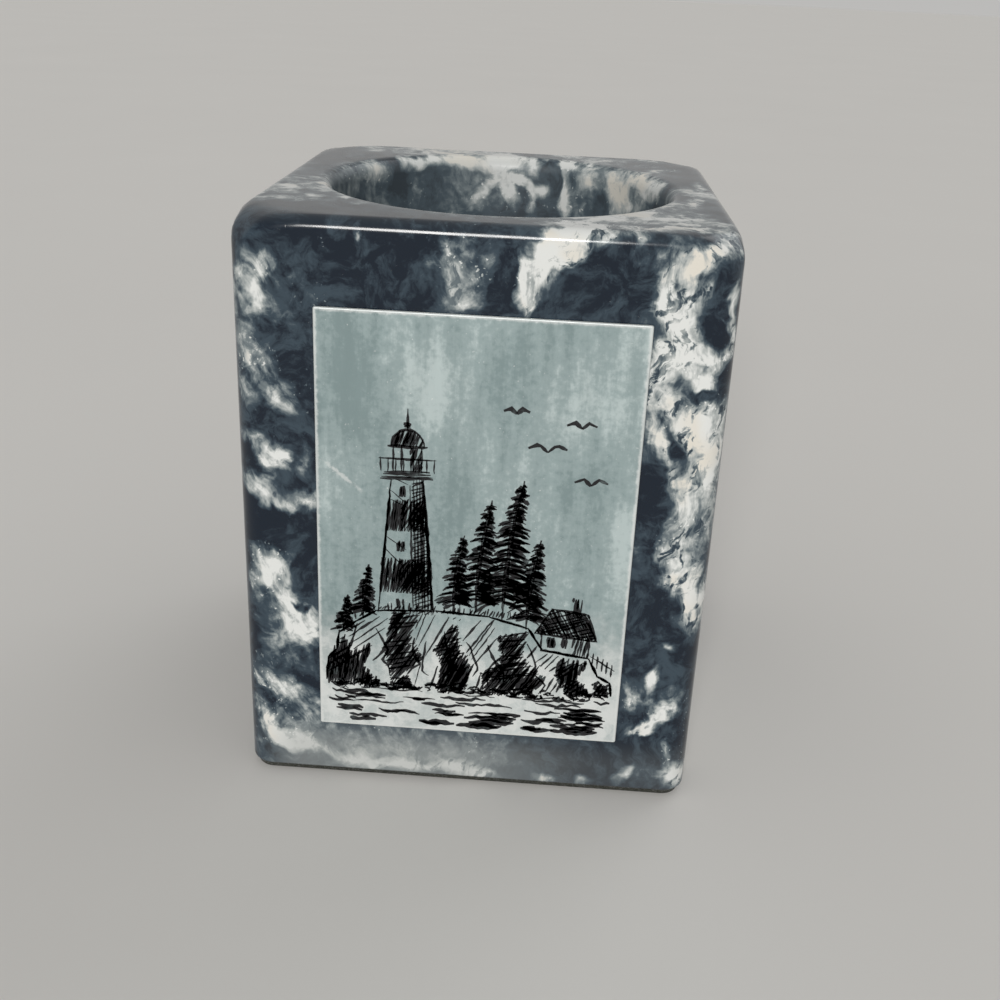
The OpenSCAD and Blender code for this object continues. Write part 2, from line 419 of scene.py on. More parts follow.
class Paint(Nodes):
    """A procedural material."""

    def __init__(self, name):
        self.material = bpy.data.materials.new(name)
        self.material.use_nodes = True
        super().__init__(self.material.node_tree)
        self.shader = self.tree.nodes["Principled BSDF"]

    def millimetres(self):
        """The place on the object, in millimetres."""
        spot = self.node("ShaderNodeTexCoord", {}).outputs["Object"]
        return self.scaled(spot, (1 / MM, 1 / MM, 1 / MM))

    def scaled(self, spot, by):
        return self.node("ShaderNodeVectorMath", {0: spot, 1: by}, operation="MULTIPLY").outputs[0]

    def moved(self, spot, by):
        return self.node("ShaderNodeVectorMath", {0: spot, 1: by}, operation="ADD").outputs[0]

    def from_axis(self, spot):
        """How far a place lies from the upright axis."""
        flat = self.scaled(spot, (1.0, 1.0, 0.0))
        return self.node("ShaderNodeVectorMath", {0: flat}, operation="LENGTH").outputs["Value"]

    def noise(self, spot, scale, detail=2.0, roughness=0.5, output="Fac"):
        """Noise with features of about 1 / scale."""
        inputs = {"Vector": spot, "Scale": scale, "Detail": detail, "Roughness": roughness}
        return self.node("ShaderNodeTexNoise", inputs).outputs[output]

    def wander(self, spot, scale, detail, reach):
        """A place pushed about by noise, up to about a quarter of the reach each way."""
        noise = self.noise(spot, scale, detail, output="Color")
        centred = self.moved(noise, (-0.5, -0.5, -0.5))
        return self.moved(spot, self.scaled(centred, (reach, reach, reach)))

    def crease(self, noise, width):
        """A thin line wherever a noise passes its middle."""
        away = self.math("ABSOLUTE", self.math("SUBTRACT", noise, 0.5))
        return self.span(away, width, 0.0)

    def mix(self, share, first, second):
        """Blends two colours."""
        inputs = {0: share, 6: opaque(first), 7: opaque(second)}
        return self.node("ShaderNodeMix", inputs, data_type="RGBA").outputs[2]

    def bump(self, height):
        """Shapes the surface's normal by a height in millimetres."""
        made = self.node("ShaderNodeBump", {"Height": height, "Distance": MM, "Strength": 1.0})
        self.feed(self.shader.inputs["Normal"], made.outputs[0])

    def finish(self, **inputs):
        """Feeds the shader, whose sockets are named with underscores here, and returns the material."""
        for key, value in inputs.items():
            self.feed(self.shader.inputs[key.replace("_", " ")], value)
        return self.material


def opaque(color):
    """A colour with its alpha, where it isn't a socket."""
    return color if isinstance(color, bpy.types.NodeSocket) else (*color, 1.0)


def blended(first, second, share):
    """The colour that lies that share of the way between two."""
    return tuple(a + (b - a) * share for a, b in zip(first, second))


def leaning(paint, spot, centre, half_sizes, lean):
    """A place measured from a leaning ellipsoid's centre, in its half sizes."""
    place = {"Vector": spot, "Location": centre, "Scale": half_sizes}
    place["Rotation"] = (0.0, math.radians(lean), 0.0)
    return paint.node("ShaderNodeMapping", place, vector_type="TEXTURE").outputs[0]


def soft_clouds(paint, spot, clouds):
    """Adds up soft ellipsoids, each by its weight."""
    total = 0.0
    for centre, half_sizes, lean, weight in clouds:
        spread = [half * CLOUD_SPREAD for half in half_sizes]
        inside = leaning(paint, spot, centre, spread, lean)
        ball = paint.node("ShaderNodeTexGradient", {0: inside}, gradient_type="SPHERICAL")
        total = paint.plus(total, ball.outputs["Fac"], weight)
    return total


def stone_grain(paint, spot, lean, stretch, scale):
    """Streaks with a width of about 1 / scale, drawn out along a leaning direction."""
    pushed = paint.wander(spot, 0.10, 2.0, 7.0)
    drawn = leaning(paint, pushed, (0.0, 0.0, 0.0), (1.0, 1.0, stretch), lean)
    return paint.noise(drawn, scale, 4.0, 0.58)


def marble_finish(settings):
    """Polished dark blue-grey marble with white and cream clouds, honed dull inside the well."""
    paint = Paint("polished_marble")
    spot = paint.millimetres()
    x, y, z = paint.axes(spot)
    well_radius = STONE_HIGH.x - settings.wall / MM

    # Zones: all but the plate's side, the top with its painted sheen, the honed well, and the foot under
    # the plate
    away = paint.span(y, FRONT + 2.0, FRONT + 12.0)
    # Painted reflection: the top and its round edge are painted paler, as if they reflected the pale
    # surroundings
    top_sheen = paint.span(z, TOP - 2.2, TOP - 0.4)
    honed = paint.span(paint.from_axis(spot), well_radius + 1.4, well_radius)
    foot = paint.times(paint.span(z, 12.5, 5.5), paint.span(away, 1.0, 0.0), paint.span(x, -37.5, -28.0))

    # The stone looks kneaded, so the clouds are curled at several sizes
    curled = paint.wander(paint.wander(spot, 0.11, 2.0, 6.0), 0.42, 3.0, 2.2)
    folded = paint.wander(curled, 0.04, 2.0, 22.0)

    # Away from the plate's side large clouds lie at random, and the top is painted paler, a painted
    # reflection of the pale surroundings
    masses = paint.noise(folded, 0.036, 2.0, 0.45)
    at_random = paint.span(masses, 0.39, 0.64, -0.45, 0.9)
    field = paint.plus(soft_clouds(paint, curled, CLOUDS), away, at_random)
    field = paint.math("MINIMUM", paint.math("MAXIMUM", field, -0.5), 1.1)
    # The painted sheen lifts the top towards pale stone
    field = paint.plus(field, paint.times(top_sheen, away), 0.18)

    # A drawn-out grain breaks up their edges, upright on the right and falling to the right on the left
    left = stone_grain(paint, spot, -32.0, 3.6, 0.42)
    right = stone_grain(paint, spot, 4.0, 3.6, 0.42)
    to_right = paint.span(x, -12.0, 12.0)
    grain = paint.math("ADD", left, paint.times(to_right, paint.math("SUBTRACT", right, left)))
    calm = paint.times(paint.less(foot, 0.25), paint.less(honed, 0.45))
    field = paint.stir(field, grain, paint.times(calm, paint.span(field, 0.1, 0.6, 0.9, 2.5)))
    field = paint.stir(field, paint.noise(curled, 0.33, 4.0, 0.55), paint.times(calm, 1.1))
    field = paint.stir(field, paint.noise(curled, 0.75, 4.0, 0.6), 0.7)

    # Dark threads cross the clouds, most of them on the right of the plate's side
    threads = paint.times(
        paint.span(stone_grain(paint, curled, 20.0, 2.8, 0.60), 0.52, 0.60),
        paint.span(paint.noise(spot, 0.10, 2.0), 0.38, 0.52, 0.35, 1.0),
        paint.span(x, -20.0, 26.0, 0.30, 1.0),
        paint.less(honed, 0.5),
        paint.less(away, 0.6),
        paint.span(field, 0.40, 0.75),
    )
    field = paint.plus(field, threads, -0.62)

    # White specks lie in clusters
    clusters = paint.span(paint.noise(spot, 0.12, 2.0), 0.50, 0.62)
    specks = paint.times(clusters, paint.span(paint.noise(spot, 1.7, 1.0), 0.66, 0.76))
    field = paint.plus(field, specks, 0.5)

    # Dark stone is smoky with slate, and the clouds go from white to cream
    smoke = paint.span(paint.noise(folded, 0.20, 6.0, 0.68), 0.46, 0.65)
    color = paint.mix(smoke, settings.deep, settings.slate)
    warmth = paint.span(paint.noise(folded, 0.07, 2.0), 0.52, 0.72)
    white = paint.mix(warmth, settings.cloud, settings.cream)
    for low, high, next_color in (
        (-0.08, 0.32, settings.slate),
        (0.22, 0.56, settings.haze),
        (0.46, 0.82, settings.pale),
        (0.72, 1.10, white),
    ):
        color = paint.mix(paint.span(field, low, high), color, next_color)

    # The foot is hazy towards the left, the top gets a painted grey sheen and the well is honed
    veil = paint.times(foot, paint.span(x, 26.0, -4.0, 0.25, 1.0))
    for zone, share, dust in (
        (veil, 0.42, settings.haze),
        (veil, 0.12, settings.cream),
        # Painted grey sheen on the top
        (top_sheen, 0.08, settings.haze),
        (honed, 0.22, settings.haze),
    ):
        color = paint.mix(paint.times(zone, share), color, dust)
    polish = paint.span(paint.noise(spot, 0.09, 5.0, 0.65), 0.30, 0.72, 0.09, 0.21)
    roughness = paint.plus(paint.plus(polish, honed, 0.30), specks, 0.15)

    # Slow waves left by polishing, pinholes, and the rings of the core drill
    waves = paint.times(paint.noise(spot, 0.10, 1.0), 0.05)
    pits = paint.span(paint.noise(spot, 1.3, 2.0), 0.30, 0.22, 0.0, -0.02)
    ring_noise = paint.noise(paint.scaled(spot, (0.02, 0.02, 1.0)), 1.4, 2.0)
    rings = paint.times(honed, paint.times(ring_noise, 0.035))
    paint.bump(paint.math("ADD", paint.math("ADD", waves, pits), rings))
    return paint.finish(Base_Color=color, Roughness=roughness, IOR=1.46)


def plate_finish(settings):
    """Weathered grey-blue metal with brushed streaks, rubbed patches and a white wash at its foot."""
    paint = Paint("weathered_plate")
    spot = paint.millimetres()
    x, _, z = paint.axes(spot)
    middle = (PLATE_LOW + PLATE_HIGH) / 2
    half = (PLATE_HIGH - PLATE_LOW) / 2
    streaks = paint.noise(paint.scaled(spot, (1.0, 1.0, 0.12)), 0.42, 5.0, 0.62)
    pushed = paint.wander(paint.scaled(spot, (1.0, 1.0, 0.75)), 0.2, 3.0, 5.0)
    patches = paint.noise(pushed, 0.075, 5.0, 0.62)
    mottle = paint.noise(spot, 0.9, 5.0, 0.66)
    ragged = paint.wander(spot, 0.35, 3.0, 5.0)
    from_middle = paint.math("SUBTRACT", x, middle.x)

    # Rubbed and dulled patches with ragged edges, drawn downwards by wiping, paler to the right
    tone = soft_clouds(paint, ragged, PLATE_PATCHES)
    for noise, share in ((patches, 2.6), (streaks, 2.2), (mottle, 2.1)):
        tone = paint.stir(tone, noise, share)
    tone = paint.math("ADD", tone, paint.times(from_middle, 0.20 / half.x))
    color = paint.mix(paint.span(tone, -0.75, 0.05), settings.shade, settings.metal)
    color = paint.mix(paint.span(tone, 0.0, 1.0), color, settings.pale)

    # The wash has a ragged upper edge about a third of the way up
    foot = PLATE_LOW.z
    rise = paint.plus(z, paint.noise(spot, 0.12, 6.0, 0.65), 34.0)
    thin = paint.span(paint.noise(ragged, 0.30, 5.0, 0.65), 0.34, 0.60, 0.55, 1.0)
    washed = paint.times(thin, paint.span(rise, foot + 42.0, foot + 26.0, 0.0, 0.95))
    rough = paint.times(paint.math("SUBTRACT", mottle, 0.5), 1.6)
    scraped = paint.math("ADD", rough, soft_clouds(paint, spot, PLATE_SCRAPE))
    flecks = paint.span(paint.noise(spot, 2.0, 1.0), 0.74, 0.82)

    # Handling has rubbed the edges bright, and the pale edge line is also a painted highlight where the
    # plate's edge catches the light
    across = paint.math("SUBTRACT", half.x, paint.math("ABSOLUTE", from_middle))
    along = paint.math("SUBTRACT", half.z, paint.math("ABSOLUTE", paint.math("SUBTRACT", z, middle.z)))
    # Partly wear, partly painted highlight: the edges are painted pale all round
    rubbed = paint.plus(paint.math("MINIMUM", across, along), mottle, -0.9)
    for whitening in (
        washed,
        paint.span(scraped, 0.30, 0.80, 0.0, 0.6),
        paint.times(flecks, 0.5),
        # Painted highlight along the edges
        paint.span(rubbed, 0.25, -0.25, 0.0, 0.75),
    ):
        color = paint.mix(whitening, color, settings.wash)

    roughness = paint.span(streaks, 0.3, 0.7, 0.36, 0.52)
    scratches = paint.crease(paint.noise(paint.scaled(spot, (1.0, 1.0, 0.05)), 3.0, 2.0), 0.03)
    height = paint.plus(paint.times(patches, 0.06), scratches, -0.004)
    paint.bump(paint.plus(height, mottle, 0.012))
    return paint.finish(Base_Color=color, Roughness=roughness, Metallic=0.3)


def ink_finish(settings):
    """Black printing ink, thin and greyish where the pen ran dry."""
    paint = Paint("printing_ink")
    spot = paint.millimetres()
    dry = paint.span(paint.noise(spot, 0.5, 5.0, 0.65), 0.52, 0.78, 0.0, 0.5)
    color = paint.mix(dry, settings.ink, blended(settings.ink, settings.shade, 0.55))
    paint.bump(paint.times(paint.noise(spot, 3.0, 2.0), 0.01))
    return paint.finish(Base_Color=color, Roughness=paint.span(dry, 0.0, 0.5, 0.34, 0.6))


def felt_finish(settings):
    """Pressed wool: matted fibres, a few of them paler."""
    paint = Paint("pressed_felt")
    spot = paint.millimetres()
    matted = paint.noise(paint.wander(spot, 0.8, 2.0, 2.0), 2.6, 4.0, 0.7)
    stray = paint.crease(paint.noise(paint.wander(spot, 0.4, 2.0, 5.0), 1.5, 1.0), 0.025)
    pressed = paint.noise(spot, 0.06, 3.0)
    color = paint.mix(paint.span(matted, 0.35, 0.70, 0.0, 0.6), settings.wool, settings.lint)
    color = paint.mix(paint.times(stray, 0.5), color, settings.lint)
    color = paint.mix(paint.span(pressed, 0.45, 0.65, 0.0, 0.35), color, settings.wool)
    paint.bump(paint.plus(paint.times(matted, 0.25), stray, 0.10))
    roughness = paint.span(matted, 0.3, 0.7, 0.85, 1.0)
    return paint.finish(Base_Color=color, Roughness=roughness, Sheen_Weight=0.25, Sheen_Roughness=0.5)


def film_finish():
    """Cream adhesive film with trapped bubbles and a faint ripple."""
    paint = Paint("adhesive_film")
    spot = paint.millimetres()
    ripple = paint.noise(spot, 0.35, 4.0, 0.6)
    bubbles = paint.span(paint.noise(spot, 1.2, 1.0), 0.66, 0.76)
    color = paint.mix(paint.span(ripple, 0.35, 0.65), FILM_COLOR, FILM_PALE)
    color = paint.mix(paint.times(bubbles, 0.6), color, FILM_BUBBLE)
    paint.bump(paint.plus(paint.times(ripple, 0.02), bubbles, 0.03))
    return paint.finish(Base_Color=color, Roughness=paint.span(ripple, 0.3, 0.7, 0.45, 0.7))


def floor_finish(settings):
    """A plain pale floor with a faint unevenness."""
    paint = Paint("pale_floor")
    spot = paint.millimetres()
    clouded = paint.noise(spot, 0.006, 4.0, 0.6)
    color = paint.mix(clouded, blended(settings.floor, (0.0, 0.0, 0.0), 0.04), settings.floor)
    roughness = paint.span(clouded, 0.3, 0.7, 0.8, 0.9)
    return paint.finish(Base_Color=color, Roughness=roughness, Specular_IOR_Level=0.0)


def start_modelling(name):
    """Names the primitive that was just added, puts its place in its mesh and opens it for editing."""
    piece = bpy.context.object
    piece.name = name
    piece.data.name = name
    bpy.ops.object.transform_apply(location=True, rotation=True, scale=True)
    bpy.ops.object.mode_set(mode="EDIT")
    return piece


def stop_modelling():
    """Turns every face outwards and closes the piece."""
    bpy.ops.mesh.select_all(action="SELECT")
    bpy.ops.mesh.normals_make_consistent(inside=False)
    bpy.ops.object.mode_set(mode="OBJECT")


def pick_points(wanted):
    """Selects the vertices whose place is wanted."""
    select_found("verts", "VERT", lambda vertex: wanted(vertex.co))


def pick_edges(wanted):
    """Selects the edges whose two ends are wanted together."""
    select_found("edges", "EDGE", lambda edge: wanted(edge.verts[0].co, edge.verts[1].co))


def select_found(kind, mode, wanted):
    """Selects only the vertices or edges that are wanted."""
    bpy.ops.mesh.select_mode(type=mode)
    bpy.ops.mesh.select_all(action="DESELECT")
    data = bpy.context.edit_object.data
    mesh = bmesh.from_edit_mesh(data)
    found = [element for element in getattr(mesh, kind) if wanted(element)]
    if not found:
        raise RuntimeError(f"{bpy.context.edit_object.name}: no {kind} lie where they should")
    for element in found:
        element.select_set(True)
    mesh.select_flush_mode()
    bmesh.update_edit_mesh(data)


def both(test):
    """A test for edges whose two ends pass a test for places."""
    return lambda start, end: test(start) and test(end)


def level(height):
    """A test for places at a height."""
    return lambda place: abs(place.z - height) < TOUCH


def extrude(rise):
    """Draws what is selected upwards, or downwards where the rise is below zero."""
    bpy.ops.mesh.extrude_region_move(TRANSFORM_OT_translate={"value": (0.0, 0.0, rise)})


def bevel_edges(wanted, radius, steps):
    """Rounds the edges whose two ends are wanted."""
    pick_edges(wanted)
    bpy.ops.mesh.bevel(offset=radius, segments=steps, affect="EDGES")


def apply_modifier(piece, kind, **choices):
    """Adds a modifier to the active piece and applies it."""
    modifier = piece.modifiers.new(kind.title(), kind)
    for key, value in choices.items():
        setattr(modifier, key, value)
    bpy.ops.object.modifier_apply(modifier=modifier.name)


def mesh_piece(name, points, faces):
    """Makes a piece from points and faces, and leaves it selected and active."""
    data = bpy.data.meshes.new(name)
    data.from_pydata(points, [], faces)
    piece = bpy.data.objects.new(name, data)
    bpy.context.scene.collection.objects.link(piece)
    bpy.ops.object.select_all(action="DESELECT")
    piece.select_set(True)
    bpy.context.view_layer.objects.active = piece
    return piece


def dress(piece, material):
    """Makes a material the piece's only one."""
    piece.data.materials.clear()
    piece.data.materials.append(material)


def hand_over(piece, material, slot, *nodes):
    """Gives a finished piece its material and its place on the frame; the slot is not used."""
    dress(piece, material)
    if nodes:
        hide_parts(*nodes)
    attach(piece, "root")


def add_sheet(name, low, high, radius):
    """Starts a flat sheet at the low corner's height, with round corners and even edges."""
    bpy.ops.object.select_all(action="DESELECT")
    middle = (low + high) / 2
    size = high - low
    bpy.ops.mesh.primitive_plane_add(size=1.0, location=(middle.x, middle.y, low.z))
    bpy.ops.transform.resize(value=(size.x, size.y, 1.0))
    piece = start_modelling(name)
    bpy.ops.mesh.bevel(offset=radius, segments=CORNER_STEPS, affect="VERTICES")
    pick_edges(lambda start, end: (end - start).length > radius)
    bpy.ops.mesh.subdivide(number_cuts=SIDE_STEPS - 1)
    bpy.ops.mesh.select_all(action="SELECT")
    return piece


def model_block(settings, low, high):
    """A block with round upright corners, drilled from its top."""
    block = add_sheet("marble_block", low, high, settings.corner_radius)
    extrude(high.z - low.z)
    bpy.ops.mesh.delete(type="ONLY_FACE")

    # The well's mouth is joined to the block's upper edge, then drawn down to its floor
    middle = (low + high) / 2
    well_radius = min(high.x - low.x, high.y - low.y) / 2 - settings.wall
    well_floor = low.z + settings.floor
    bpy.ops.mesh.primitive_circle_add(
        vertices=RING_STEPS, radius=well_radius, location=(middle.x, middle.y, high.z)
    )

    def from_axis(place):
        return math.hypot(place.x - middle.x, place.y - middle.y)

    def round_well(height):
        """A test for edges on the well at a height."""
        return both(lambda place: level(height)(place) and from_axis(place) < well_radius + TOUCH)

    def round_block(height):
        """A test for edges outside the well at a height."""
        return both(lambda place: level(height)(place) and from_axis(place) > well_radius + TOUCH)

    pick_edges(both(level(high.z)))
    bpy.ops.mesh.bridge_edge_loops()
    pick_edges(round_well(high.z))
    extrude(well_floor - high.z)
    bpy.ops.mesh.edge_face_add()

    # Worked edges: top, lip, foot of the well and base
    bevel_edges(round_block(high.z), settings.top_radius, TOP_EDGE_STEPS)
    bevel_edges(round_well(high.z), settings.lip_radius, LIP_STEPS)
    bevel_edges(round_well(well_floor), settings.foot_radius, WELL_FOOT_STEPS)
    bevel_edges(round_block(low.z), settings.base_bevel, BASE_STEPS)

    # Edge loops down the sides, and rings in the flat of the top
    for depth in SIDE_LOOPS:
        bpy.ops.mesh.select_all(action="SELECT")
        bpy.ops.mesh.bisect(plane_co=(0.0, 0.0, high.z - depth * MM), plane_no=(0.0, 0.0, 1.0))
    lip_reach = well_radius + settings.lip_radius * 1.1

    def crosses_top(start, end):
        crosses = (from_axis(start) < lip_reach) != (from_axis(end) < lip_reach)
        return crosses and both(level(high.z))(start, end)

    pick_edges(crosses_top)
    bpy.ops.mesh.subdivide(number_cuts=TOP_RINGS)
    return block


def ease_top_corners(block, settings, low, high):
    """Takes the block's four top corners in to a turned shape round the well's axis."""
    middle = (low + high) / 2
    half = (high - low) / 2
    inner = Vector((half.x - settings.corner_radius, half.y - settings.corner_radius))
    reach = inner.length + settings.corner_radius + settings.ease_clear
    # The turned shape stands clear of the block's top, and further below its base
    top = high.z + settings.ease_clear
    depth = 2 * half.z + 4 * settings.ease_clear
    bpy.ops.object.select_all(action="DESELECT")
    bpy.ops.mesh.primitive_cylinder_add(
        vertices=TURNED_STEPS,
        radius=reach,
        depth=depth,
        location=(middle.x, middle.y, top - depth / 2),
    )
    turned = start_modelling("turned_shape")
    bevel_edges(both(level(top)), settings.ease_radius, EASE_STEPS)
    stop_modelling()
    bpy.context.view_layer.objects.active = block
    apply_modifier(block, "SHRINKWRAP", target=turned, wrap_mode="INSIDE")
    bpy.data.objects.remove(turned)

    # The crease that the turned shape leaves is rubbed smooth
    bpy.ops.object.mode_set(mode="EDIT")
    touched = settings.ease_radius * 1.1
    pick_points(
        lambda place: place.z > high.z - touched
        and math.hypot(place.x - middle.x, place.y - middle.y) > reach - touched
    )
    bpy.ops.mesh.vertices_smooth(factor=0.5, repeat=2)


class PEN_CUP_OT_marble_block(bpy.types.Operator):
    """Models the drilled block with its worked edges and gives it the marble finish"""

    bl_idname = "pen_cup.marble_block"
    bl_label = "Marble block"

    def execute(self, context):
        settings = context.scene.cup_marble
        low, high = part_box("marble_body")
        block = model_block(settings, low, high)
        stop_modelling()
        ease_top_corners(block, settings, low, high)
        stop_modelling()
        bpy.ops.object.shade_smooth()
        apply_modifier(block, "WEIGHTED_NORMAL", weight=BLOCK_FLATNESS)
        hand_over(block, marble_finish(settings), "marble", "marble_body")
        return {"FINISHED"}


class PEN_CUP_OT_picture_plate(bpy.types.Operator):
    """Models the thin plate with its bevelled edge"""

    bl_idname = "pen_cup.picture_plate"
    bl_label = "Picture plate"

    def execute(self, context):
        settings = context.scene.cup_plate
        low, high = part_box("picture_plate")
        face = low.y + settings.ink_depth
        bpy.ops.object.select_all(action="DESELECT")
        middle = (low + high) / 2
        bpy.ops.mesh.primitive_cube_add(size=1.0, location=(middle.x, (face + high.y) / 2, middle.z))
        bpy.ops.transform.resize(value=(high.x - low.x, high.y - face, high.z - low.z))
        plate = start_modelling("plate_panel")

        # Snipped corners first, then the bevel round the face
        bevel_edges(lambda start, end: abs(start.y - end.y) > TOUCH, settings.corner_radius, SNIP_STEPS)
        on_face = both(lambda place: abs(place.y - face) < TOUCH)
        bevel_edges(on_face, settings.edge_bevel, PLATE_EDGE_STEPS)
        stop_modelling()
        bpy.ops.object.shade_smooth()
        apply_modifier(plate, "WEIGHTED_NORMAL", weight=PLATE_FLATNESS)
        hand_over(plate, plate_finish(settings), "plate", "picture_plate")
        return {"FINISHED"}


class PenDrawing:
    """Pen strokes, in millimetres from the plate's lower left corner, kept as thin tapered ribbons."""

    # How far apart the points of a stroke lie, and half the width of the thinnest
    STEP = 0.8
    THINNEST = 0.03

    def __init__(self, seed):
        self.chance = random.Random(seed)
        self.points = []
        self.faces = []

    def along(self, route):
        """Evenly spaced points along a route, as complex numbers."""
        corners = [complex(*point) for point in route]
        lengths = [abs(b - a) for a, b in zip(corners, corners[1:])]
        count = max(2, math.ceil(sum(lengths) / self.STEP))
        for index in range(count + 1):
            left = sum(lengths) * index / count
            side = 0
            while side < len(lengths) - 1 and left > lengths[side]:
                left -= lengths[side]
                side += 1
            share = left / max(lengths[side], 1e-6)
            yield corners[side] + (corners[side + 1] - corners[side]) * share

    def stroke(self, route, width, wobble=0.07):
        """One stroke that swells in its middle and thins at its ends."""
        path = [
            point + complex(self.chance.gauss(0, wobble), self.chance.gauss(0, wobble)) / 2
            for point in self.along(route)
        ]
        first = len(self.points)
        last = len(path) - 1
        for index, point in enumerate(path):
            ahead = path[min(index + 1, last)] - path[max(index - 1, 0)]
            swell = 0.18 + 0.82 * math.sin(math.pi * (index + 0.3) / (last + 0.6)) ** 0.7
            reach = max(width / 2 * swell * self.chance.uniform(0.6, 1.3), self.THINNEST)
            side = 1j * ahead / max(abs(ahead), 1e-6) * reach
            self.points += [point + side, point - side]
        for index in range(first, first + 2 * last, 2):
            self.faces.append((index + 1, index + 3, index + 2, index))

    def outline(self, corners, width, closed=True):
        """Each side of an outline as a stroke of its own that runs a little past its ends."""
        ring = corners + corners[:1] if closed else corners
        for (u1, v1), (u2, v2) in zip(ring, ring[1:]):
            past = 0.15 / max(math.hypot(u2 - u1, v2 - v1), 0.3)
            start = (u1 - (u2 - u1) * past, v1 - (v2 - v1) * past)
            self.stroke([start, (u2, v2)], width)

    def hatch(self, corners, lean, gap, width, spill=0.25, skip=0.0):
        """Fills an outline with strokes that lean by an angle and spill a little past its edge."""
        turn = complex(math.cos(math.radians(lean)), math.sin(math.radians(lean)))
        turned = [complex(*corner) / turn for corner in corners]
        row = min(point.imag for point in turned) + gap * self.chance.random()
        top = max(point.imag for point in turned)
        while row < top:
            cuts = sorted(
                a.real + (b.real - a.real) * (row - a.imag) / (b.imag - a.imag)
                for a, b in zip(turned, turned[1:] + turned[:1])
                if (a.imag > row) != (b.imag > row)
            )
            for start, stop in zip(cuts[::2], cuts[1::2]):
                if self.chance.random() < skip:
                    continue
                start -= spill * self.chance.random()
                stop += spill * self.chance.uniform(-1.0, 1.0)
                slant = self.chance.gauss(0, gap / 3)
                ends = (complex(start, row) * turn, complex(stop, row + slant) * turn)
                route = [(end.real, end.imag) for end in ends]
                self.stroke(route, width * self.chance.uniform(0.7, 1.3))
            row += gap * self.chance.uniform(0.65, 1.35)

    def solid(self, corners, lean):
        """Fills an outline nearly black, with a few slips of the pen left open."""
        self.hatch(corners, lean, 0.34, 0.50, 0.12, 0.03)

    def tangle(self, middle, across, along, curls):
        """A tangle of small curls round a middle, for foam."""
        for _ in range(curls):
            turn = self.chance.uniform(0.0, 2 * math.pi)
            away = math.sqrt(self.chance.random())
            spot = middle + complex(across * away * math.cos(turn), along * away * math.sin(turn))
            reach = self.chance.uniform(0.35, 0.8)
            curl = [
                (
                    spot.real + 1.5 * reach * math.cos(turn + step),
                    spot.imag + reach * 0.7 * math.sin(turn + step),
                )
                for step in (0.0, 0.9, 1.8, 2.7)
            ]
            self.stroke(curl, self.chance.uniform(0.30, 0.60))


def upright(left, low, right, high):
    """The corners of an upright rectangle."""
    return [(left, low), (right, low), (right, high), (left, high)]


def draw_tower(pen):
    """A tapered lighthouse with black bands, a gallery and a lantern."""
    middle, base, top = 14.4, 22.6, 46.6

    def wall(height):
        half = 4.5 - 2.0 * (height - base) / (top - base)
        return middle - half, middle + half

    def section(low, high, start=0.0, stop=1.0):
        """A stretch of the tower, from one share of its width to another."""
        corners = []
        for height, share in ((low, start), (low, stop), (high, stop), (high, start)):
            left, right = wall(height)
            corners.append((left + (right - left) * share, height))
        return corners

    for side in (0, 1):
        for _ in range(2):
            pen.stroke([(wall(v)[side], v) for v in (base, 31.0, 39.0, top)], 0.45 + 0.2 * side)
    for low, high in ((26.4, 32.6), (37.6, 43.0)):
        pen.solid(section(low, high), 84)
        pen.hatch(section(low, high, 0.35), 60, 0.6, 0.45, 0.1)
    pen.hatch(section(base, top, 0.58), 92, 0.42, 0.40, 0.1)
    pen.hatch(section(base, top, 0.66), 24, 0.60, 0.32, 0.2)
    pen.hatch(section(base, top, 0.0, 0.5), -35, 1.9, 0.16, 0.0, 0.4)
    for v in (24.2, 34.8, 44.4):
        pen.solid(upright(middle - 1.5, v - 0.8, middle - 0.1, v + 1.0), 90)

    # Gallery with its rail, lantern room, dome and finial
    bracket = [(-4.2, 46.5), (4.2, 46.5), (3.4, 48.1), (-3.4, 48.1)]
    pen.solid([(middle + u, v) for u, v in bracket], 2)
    pen.stroke([(middle - 4.5, 50.0), (middle + 4.5, 50.0)], 0.38)
    for post in range(8):
        u = middle - 4.2 + post * 1.2
        pen.stroke([(u, 47.8), (u, 50.2)], 0.28)
    for u in (-2.2, -0.9, 0.9, 2.2):
        pen.stroke([(middle + u, 47.9), (middle + u, 52.1)], 0.42)
    pen.solid(upright(middle + 0.5, 48.0, middle + 2.2, 52.0), 70)
    pen.stroke([(middle - 3.1, 52.1), (middle + 3.1, 52.1)], 0.7)
    arc = [math.radians(step) for step in range(0, 181, 20)]
    dome = [(middle - 2.6 * math.cos(a), 52.1 + 2.9 * math.sin(a)) for a in arc]
    pen.stroke(dome, 0.45)
    pen.solid(dome, 70)
    pen.stroke([(middle, 54.8), (middle, 58.4)], 0.40, 0.02)
    pen.solid(upright(middle - 0.5, 55.3, middle + 0.5, 56.2), 0)


def draw_pine(pen, u, v, height, spread):
    """A storm-bent pine: a trunk and tiers of drooping branches, heavier on its right."""
    bend = height * 0.10

    def trunk(share):
        return u + bend * share * share, v + height * share

    pen.stroke([trunk(share / 4) for share in range(5)], 0.8)
    tiers = int(height * 1.5)
    for tier in range(tiers):
        share = 0.14 + 0.84 * tier / tiers
        at_u, at_v = trunk(share)
        reach = spread * (1.08 - share) ** 0.8
        for side in (-1, 1):
            for _ in range(2 if side < 0 else 3):
                out = side * reach * pen.chance.uniform(0.35, 1.15)
                droop = abs(out) * pen.chance.uniform(0.15, 0.55)
                root = at_v + pen.chance.uniform(-0.4, 0.4)
                elbow = (at_u + out * 0.6, root - droop * 0.4)
                branch = [(at_u, root), elbow, (at_u + out, root - droop)]
                pen.stroke(branch, pen.chance.uniform(0.30, 0.75))


